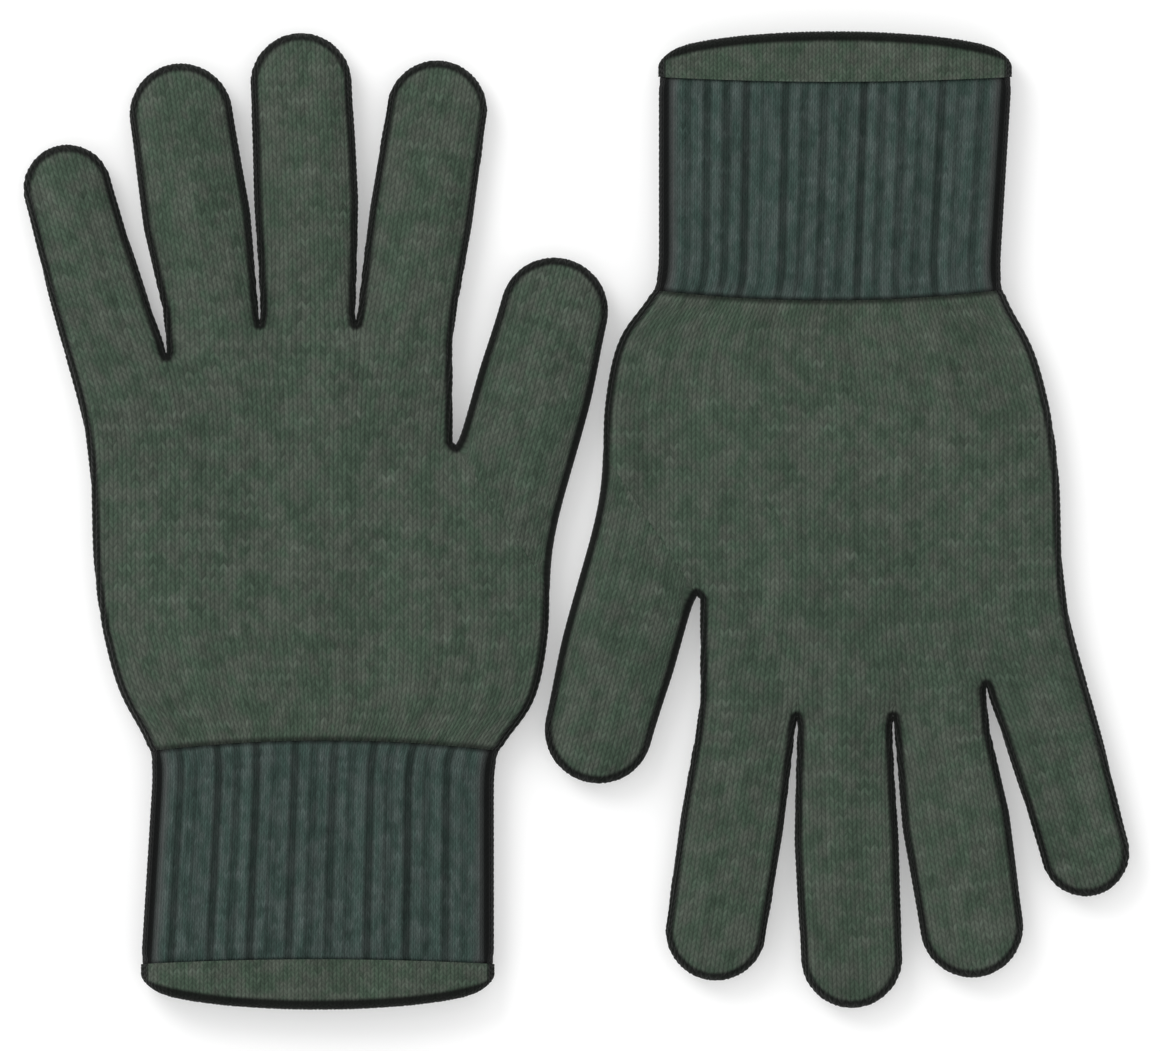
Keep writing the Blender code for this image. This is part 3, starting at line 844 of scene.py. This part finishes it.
# %% Lining
CLOSING = 0.75  # the share of its length after which its two faces come together
up = rows_between(0, LINING_END - RIB_END)[::3, None] / (LINING_END - RIB_END)
lining_y = rib_end_y + (LINING_END - rib_end_y) * up
lining_plan = cuff_plan(share * np.ones_like(up), lining_y)
base_top, base_under, top_way, under_way, _ = tube_faces(lining_plan)
lining_knit = cuff_knit(share, lining_y, RIB_COURSE)
lining_knit[..., 2] = 1
faces = [base_top - top_way * LINING, base_under - under_way * LINING]
closing = step_up(up, CLOSING, 1)
for face in faces:
    face[..., 2] = MIDDLE_Z + (face[..., 2] - MIDDLE_Z) * (1 - closing)
# the lining lies far from every edge, so it gets no painted edge shade
all_inside = np.full(lining_plan.shape[:2], FAR_INSIDE)
lining = (*faces, lining_knit, all_inside, np.ones((len(up), 2), bool))
print("lining grid", lining_plan.shape[:2])

# %% [markdown]
# ## Elastic thread
# One thin thread winds round the rib cuff inside the fabric, halfway between its two faces. A
# curve with a bevel would look the same. A grid of rings has its map for baking straight away.

# %% Elastic thread
THREAD, THREAD_SIDES = 0.0008, 8  # its thickness, and the points round it
TURNS, TURN_STEPS = 5, 64
THREAD_INSET = 0.005  # from the rib's ends
PLACES = 200  # across the cuff, between which the thread's points are found
MAP_SHARE, CAP_SPOT = 0.9, 0.97  # of its map: the part for the tube, and the place of its ends


def thread_path():
    """The points of the wound thread, over the top for half a turn and back below."""
    count = TURNS * TURN_STEPS
    turn = np.arange(count + 1) / TURN_STEPS
    y = -THREAD_INSET + (RIB_END + 2 * THREAD_INSET) * turn / TURNS
    angle = 2 * math.pi * (turn % 1)
    across = (1 - np.cos(angle)) / 2
    places = (even_section(PLACES + 1, CUFF_ROUND, mouth_half) + 1) / 2
    plan = cuff_plan(places[None] * np.ones((count + 1, 1)), y[:, None] * np.ones(PLACES + 1))
    top, under, top_way, under_way, _ = tube_faces(plan)
    faces = [top - top_way * LINING / 2, under - under_way * LINING / 2]
    column = across * PLACES
    low = np.minimum(column.astype(int), PLACES - 1)
    part = (column - low)[:, None]
    rows = np.arange(count + 1)
    path = [face[rows, low] * (1 - part) + face[rows, low + 1] * part for face in faces]
    return np.where((angle < math.pi)[:, None], path[0], path[1])


def tube_grid(path, radius, count):
    """Rings of points round a path."""
    way = np.gradient(path, axis=0)
    way /= np.linalg.norm(way, axis=1, keepdims=True)
    first = np.cross(way, [0.0, 1.0, 0.0])
    first /= np.linalg.norm(first, axis=1, keepdims=True)
    second = np.cross(way, first)
    turns = np.linspace(0, 2 * math.pi, count, endpoint=False)
    ring = np.cos(turns)[:, None] * first[:, None] + np.sin(turns)[:, None] * second[:, None]
    return path[:, None] + radius * ring


thread = tube_grid(thread_path(), THREAD / 2, THREAD_SIDES)
print("elastic rings", len(thread))


def build_thread(glove):
    """One glove's thread as a mesh, with both of its ends closed."""
    rings, count = thread.shape[:2]
    index = np.arange(rings * count).reshape(rings, count)
    following = np.roll(index, -1, axis=1)
    quads = np.stack([index[:-1], index[1:], following[1:], following[:-1]], -1).reshape(-1, 4)
    caps = []
    for ring in (index[0][::-1], index[-1]):
        for k in range(1, count - 2, 2):
            caps.append([ring[0], ring[k], ring[k + 1], ring[k + 2]])
    quads = np.concatenate([quads, np.array(caps)])
    spot = np.stack(np.meshgrid(np.arange(count + 1), np.arange(rings)), -1)
    spot = spot / [count, rings - 1] * MAP_SHARE + 0.02
    spots = np.stack([spot[:-1, :-1], spot[1:, :-1], spot[1:, 1:], spot[:-1, 1:]], -2)
    spots = np.concatenate([spots.reshape(-1, 2), np.full((len(caps) * 4, 2), CAP_SPOT)])
    points = thread.reshape(-1, 3)
    facts = np.zeros((len(points), 3))
    return new_piece(
        f"{glove}_elastic_thread", placed(glove, points), quads, spots, facts, facts[:, 0]
    )


# %% [markdown]
# ## Putting the gloves together
# Each piece is built for both gloves. The palm and the hem each ride on one CAD body; the
# digits' pieces, the rib cuff and the thread are placed as they lie and ride on no body. Lines
# from the creases that the solids turn about are worked out for the digits and the cuff, but
# nothing bends along them.

# %% Bends
FINGER_BEND, THUMB_BEND, FOLD_BEND, WRIST_BEND = 0.016, 0.014, 0.018, 0.020  # their lengths
BELOW_SEAM = (0, -0.003)  # where the wrist's bend line starts


def bend_line(glove, point, way, length):
    """The start and end of a bend line, in the row frame, from a point of the glove's own plan."""
    start = placed(glove, np.array([*point, LOFT]))
    end = placed(glove, np.array([*(np.array(point) + np.array(way) * length), LOFT]))
    return start, end


def part_of(fabric, rows, zip_end=False):
    """Some rows of a digit, closed along the last one if asked."""
    return layer(*(grid[rows] for grid in fabric), zip_end=zip_end)


# %% Build the pieces, and tie the palm and the hem
knitted_pieces = {"hand_knit": [], "rib_knit": [], "elastic_thread": []}
for glove in GLOVES:
    hand, cuff = glove + "_hand", glove + "_cuff"
    piece = build_piece(glove, "knitted_palm", layer(*palm))
    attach(piece, hand)
    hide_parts(glove + "_palm")
    knitted_pieces["hand_knit"].append(piece)
    for name, (fabric, join) in digits.items():
        below, above = part_of(fabric, slice(0, join + 1)), part_of(fabric, slice(join, None), True)
        lower = build_piece(glove, f"knitted_{name}_lower", below)
        upper = build_piece(glove, f"knitted_{name}_upper", above)
        root, _ = hinge(name + "_root_fold")
        fold, axis = hinge(name + "_middle_fold")
        way, bend = ((0, 1), FINGER_BEND)
        if name == "thumb":
            way, bend = square_to(crease_way), THUMB_BEND
        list(bend_line(glove, root, way, bend))
        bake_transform(lower)
        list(bend_line(glove, fold, square_to(axis), FOLD_BEND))
        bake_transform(upper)
        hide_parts(f"{glove}_{name}_base")
        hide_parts(f"{glove}_{name}_tip")
        knitted_pieces["hand_knit"] += [lower, upper]
    ribbed, lined = layer(*rib, turn=-1), layer(*lining, turn=-1, zip_end=True)
    piece = build_piece(glove, "knitted_rib_cuff", ribbed, lined)
    wrist_line = bend_line(glove, BELOW_SEAM, (0, -1), WRIST_BEND)
    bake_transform(piece)
    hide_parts(glove + "_rib_cuff")
    knitted_pieces["rib_knit"].append(piece)
    piece = build_piece(glove, "knitted_hem", layer(*hem, turn=-1))
    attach(piece, cuff)
    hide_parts(glove + "_hem")
    knitted_pieces["hand_knit"].append(piece)
    piece = build_thread(glove)
    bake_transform(piece)
    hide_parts(glove + "_cuff_elastic")
    knitted_pieces["elastic_thread"].append(piece)
for name, pieces in knitted_pieces.items():
    print(name, len(pieces), "pieces", sum(len(p.data.polygons) for p in pieces), "faces")


# %% [markdown]
# ## Shader maths
# A material is a graph of nodes. The class below wraps one output of a node, so that sums are
# written as Python expressions, and every operator adds its Math node.

# %% Sockets
class Wire:
    """One output of a node, to reckon with as with a number."""

    def __init__(self, recipe, socket):
        self.recipe, self.socket = recipe, socket

    def math(self, operation, *values):
        fed = dict(enumerate(values))
        return self.recipe.node("ShaderNodeMath", {"operation": operation}, fed)

    def floor(self):
        return self.math("FLOOR", self)

    def wave(self, turns):
        """The sine of some number of half turns times the value."""
        return self.math("SINE", self * (turns * math.pi))

    def __add__(self, other):
        return self.math("ADD", self, other)

    def __sub__(self, other):
        return self.math("SUBTRACT", self, other)

    def __rsub__(self, other):
        return self.math("SUBTRACT", other, self)

    def __mul__(self, other):
        return self.math("MULTIPLY", self, other)

    def __pow__(self, other):
        return self.math("POWER", self, other)

    __radd__, __rmul__ = __add__, __mul__


# %% Recipes
SOLID = {"noise_dimensions": "3D"}


class Recipe:
    """A material that is being made up."""

    def __init__(self, name):
        self.material = bpy.data.materials.new(name)
        self.material.use_nodes = True
        self.tree = self.material.node_tree
        self.shader = self.tree.nodes["Principled BSDF"]

    def node(self, kind, settings=None, inputs=None, output=0):
        made = self.tree.nodes.new(kind)
        for key, value in (settings or {}).items():
            setattr(made, key, value)
        self.feed(made, inputs or {})
        return Wire(self, made.outputs[output])

    def feed(self, node, inputs):
        for key, value in inputs.items():
            if isinstance(value, Wire):
                self.tree.links.new(value.socket, node.inputs[key])
            else:
                node.inputs[key].default_value = value

    def vector(self, x, y, z):
        return self.node("ShaderNodeCombineXYZ", None, {0: x, 1: y, 2: z})

    def noise(self, place, detail=2.0):
        fed = {"Vector": place, "Scale": 1.0, "Detail": detail, "Roughness": 0.6}
        return self.node("ShaderNodeTexNoise", SOLID, fed)

    def random(self, place):
        return self.node("ShaderNodeTexWhiteNoise", SOLID, {"Vector": place})

    def ramp(self, value, low, high, bottom=0.0, top=1.0):
        fed = {0: value, 1: low, 2: high, 3: bottom, 4: top}
        return self.node("ShaderNodeMapRange", {"interpolation_type": "SMOOTHSTEP"}, fed)

    def mix(self, share, first, second):
        fed = {0: share, 6: first, 7: second}
        return self.node("ShaderNodeMix", {"data_type": "RGBA"}, fed, 2)

    def scaled(self, colour, share):
        fed = {0: colour, "Scale": share}
        return self.node("ShaderNodeVectorMath", {"operation": "SCALE"}, fed)


# %% [markdown]
# ## Yarn
# The yarn is heathered: fibres of two shades are spun together, so the tone changes from loop to
# loop and drifts along each course. A painted shade darkens the grooves between the legs, and the
# turn of the fabric at every edge is painted near black as the shade of the glove's own thickness.

# %% Colours of the yarns
OLIVE, BROWN, PALE = (0.048, 0.075, 0.052, 1), (0.060, 0.073, 0.058, 1), (0.090, 0.115, 0.093, 1)
TEAL, SLATE, MAUVE = (0.037, 0.065, 0.055, 1), (0.052, 0.072, 0.066, 1), (0.085, 0.105, 0.104, 1)
SIDE_GREY, SIDE_REACH = (0.066, 0.068, 0.068, 1), (0.0030, 0.0058)  # the cuff's greyer sides
EDGE_PAINTED_SHADE, SEAM_DARK = 0.07, 0.35  # what is left of the colour in the painted shade at the edges, and at the wrist seam
# how far in from the edge the painted edge shade stays near black, and where it has faded, on the
# hand and on the cuff
EDGE_SHADE_REACH, CUFF_EDGE_SHADE_REACH = (0.0013, 0.0024), (0.0018, 0.0030)
HAND_SEAM, CUFF_SEAM = (0.15, 1.0), (0.1, 0.9)  # in courses from the wrist's seam


def knit_facts(recipe):
    """What a mesh carries: wales, courses, which yarn, and the distance from the edge."""
    place = recipe.node("ShaderNodeAttribute", {"attribute_name": "knit"}, None, 1)
    split = [recipe.node("ShaderNodeSeparateXYZ", None, {0: place}, k) for k in range(3)]
    edge = recipe.node("ShaderNodeAttribute", {"attribute_name": "from_edge"}, None, 2)
    return *split, edge


def yarn(recipe, wales, courses, rise, glove, shades):
    """The heathered colour: it varies by leg, in streaks and patches, and by wale."""
    first, second, pale = shades
    row, leg, wale = rise.floor(), (wales * 2).floor(), wales.floor()
    each = recipe.random(recipe.vector(leg, row, glove))
    streak = recipe.noise(recipe.vector(wales * 0.2, row * 0.83, glove + 3.1), 3.0)
    patch = recipe.noise(recipe.vector(wales * 0.45, courses * 0.28, glove + 7.7), 4.0)
    column = recipe.noise(recipe.vector(wale * 0.47, courses * 0.03, glove + 1.3), 1.0)
    colour = recipe.mix(recipe.ramp(patch, 0.36, 0.64), first, second)
    colour = recipe.mix(recipe.ramp(streak, 0.52, 0.78, 0.0, 0.28), colour, pale)
    tone = each * 0.32 + streak * 0.60 + patch * 0.75 + column * 0.52 - 0.095
    return recipe.scaled(colour, tone)


# %% Stitches as nodes
def stitch_nodes(wales, courses):
    """The V stitch: how far up its leg a place is, and its height."""
    out = wales.math("ABSOLUTE", wales - wales.floor() - 0.5)
    rise = courses - out * LEAN
    leg, groove = (rise - rise.floor()).wave(1), out.wave(2)
    height = (groove ** 0.5) * (0.45 + leg * 0.55)
    return rise, height


def knit_shade(recipe, wales, rise, height, fineness, deepest):
    """The fibres of the yarn, and a painted shade: darker between the fibres and down in the grooves,
    a little lighter on the stitches' tops.
    """
    fibre = recipe.noise(recipe.vector(wales * fineness, rise * 4.0, 0.0), 3.0)
    shade = recipe.ramp(height, 0.0, 0.9, deepest, 1.08)
    return fibre, shade * recipe.ramp(fibre, 0.3, 0.7, 0.85, 1.12)


def darker_ends(recipe, shade, edge, reach_in, courses, seam):
    """The shade, with a painted shade that turns near black where the fabric turns over an edge, and
    darker at the wrist's seam.
    """
    shade = shade * recipe.ramp(edge, *reach_in, EDGE_PAINTED_SHADE, 1.0)
    return shade * recipe.ramp(courses, *seam, SEAM_DARK, 1.0)


def finish_knit(recipe, colour, shade, height, fibre):
    """Joins a knit's colour and its relief to its shader."""
    bump = recipe.node("ShaderNodeBump", None, {
        "Strength": 0.55, "Distance": 0.0005, "Height": height + fibre * 0.3,
    })
    recipe.feed(recipe.shader, {
        "Base Color": recipe.scaled(colour, shade), "Normal": bump, "Roughness": 0.95,
        "Specular IOR Level": 0.15, "Sheen Weight": 0.06, "Sheen Roughness": 0.5,
    })
    return recipe.material


# %% Finish of the hands and hems
def hand_finish():
    """Olive heather in stocking stitch, with painted shade in its grooves and along its edges."""
    recipe = Recipe("heathered_hand_knit")
    wales, courses, glove, edge = knit_facts(recipe)
    rise, height = stitch_nodes(wales, courses)
    colour = yarn(recipe, wales, courses, rise, glove, (OLIVE, BROWN, PALE))
    fibre, shade = knit_shade(recipe, wales, rise, height, 9.0, 0.62)
    shade = darker_ends(recipe, shade, edge, EDGE_SHADE_REACH, courses, HAND_SEAM)
    return finish_knit(recipe, colour, shade, height, fibre)


# %% Finish of the ribs
def rib_finish():
    """Blue-green heather, with painted shade down in its rib grooves. Every other groove's painted
    shade is lighter, and no two grooves are alike.
    """
    recipe = Recipe("heathered_rib_knit")
    ribs, courses, glove, edge = knit_facts(recipe)
    wales = ribs * 4 + 0.5
    rise, height = stitch_nodes(wales, courses)
    colour = yarn(recipe, wales, courses, rise, glove, (TEAL, SLATE, MAUVE))
    colour = recipe.mix(recipe.ramp(edge, *SIDE_REACH, 0.65, 0.0), colour, SIDE_GREY)
    ridge = recipe.ramp((ribs + 0.25).wave(2), -0.85, 0.35)
    number = ribs.floor()
    second = (number * 0.5 - (number * 0.5).floor()) * 0.5
    groove = 0.40 + recipe.random(recipe.vector(number, glove, 0.0)) * 0.35 + second
    fibre, shade = knit_shade(recipe, wales, rise, height, 7.0, 0.66)
    # painted shade down in the rib's grooves, less on the ridges
    shade = shade * (groove + ridge * (1 - groove))
    shade = darker_ends(recipe, shade, edge, CUFF_EDGE_SHADE_REACH, courses, CUFF_SEAM)
    return finish_knit(recipe, colour, shade, height, fibre)


# %% Finish of the thread
def thread_finish():
    """Dark rubber with a fine grain."""
    recipe = Recipe("elastic_thread")
    place = recipe.node("ShaderNodeTexCoord", None, None, 3)
    wound = recipe.noise(recipe.scaled(place, 1800.0), 2.0)
    colour = recipe.mix(wound, (0.014, 0.017, 0.016, 1), (0.028, 0.033, 0.031, 1))
    grain = {"Strength": 0.4, "Distance": 0.0001, "Height": wound}
    bump = recipe.node("ShaderNodeBump", None, grain)
    recipe.feed(recipe.shader, {"Base Color": colour, "Normal": bump, "Roughness": 0.6})
    return recipe.material


finishes = {
    "hand_knit": hand_finish(), "rib_knit": rib_finish(), "elastic_thread": thread_finish()
}
for slot, pieces in knitted_pieces.items():
    for piece in pieces:
        piece.data.materials.append(finishes[slot])
print("finishes", list(finishes))

# %% [markdown]
# ## Floor, light and camera
# The gloves lie on a plain pale surface under soft light from all round, with a little more from
# the upper left. The camera looks straight down and has no perspective.

# %% Stage
FRAME_WIDTH = 0.290  # of the camera's view
VIEW_CENTRE = (0.0009, -0.00125)
KEY_PLACE, KEY_SIZE, KEY_POWER = (-0.8, 0.9, 1.1), 0.9, 9  # metres and watts


def floor_finish():
    """Pale grey that glows a little, so that the shadows on it stay faint."""
    recipe = Recipe("pale_floor")
    recipe.feed(recipe.shader, {
        "Base Color": (0.76, 0.76, 0.76, 1), "Roughness": 0.9,
        "Emission Color": (1, 1, 1, 1), "Emission Strength": 0.27,
    })
    return recipe.material


bpy.ops.mesh.primitive_plane_add(size=4, location=(0, 0, -0.0001))
floor = bpy.context.object
floor.name = "floor"
floor.data.materials.append(floor_finish())
floor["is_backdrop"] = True

world = bpy.data.worlds.new("soft_studio")
bpy.context.scene.world = world
world.use_nodes = True
background = world.node_tree.nodes["Background"].inputs
background["Color"].default_value = (1, 1, 1, 1)
background["Strength"].default_value = 0.97


def area_light(name, place, size, power):
    """A round soft lamp that points at the gloves."""
    light = bpy.data.lights.new(name, "AREA")
    light.shape, light.size, light.energy = "DISK", size, power
    lamp = bpy.data.objects.new(name, light)
    lamp.location = place
    lamp.rotation_euler = (-Vector(place)).to_track_quat("-Z", "Y").to_euler()
    bpy.context.scene.collection.objects.link(lamp)


area_light("key", KEY_PLACE, KEY_SIZE, KEY_POWER)

camera = bpy.data.objects.new("camera", bpy.data.cameras.new("camera"))
camera.data.type = "ORTHO"
camera.data.ortho_scale = FRAME_WIDTH
camera.location = (*VIEW_CENTRE, 1.0)
bpy.context.scene.collection.objects.link(camera)
bpy.context.scene.camera = camera
bpy.context.scene.view_settings.view_transform = "Standard"

# %% Measure and finish
low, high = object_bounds()
print("visual box in mm:", [round(side * 1000, 1) for side in high - low])
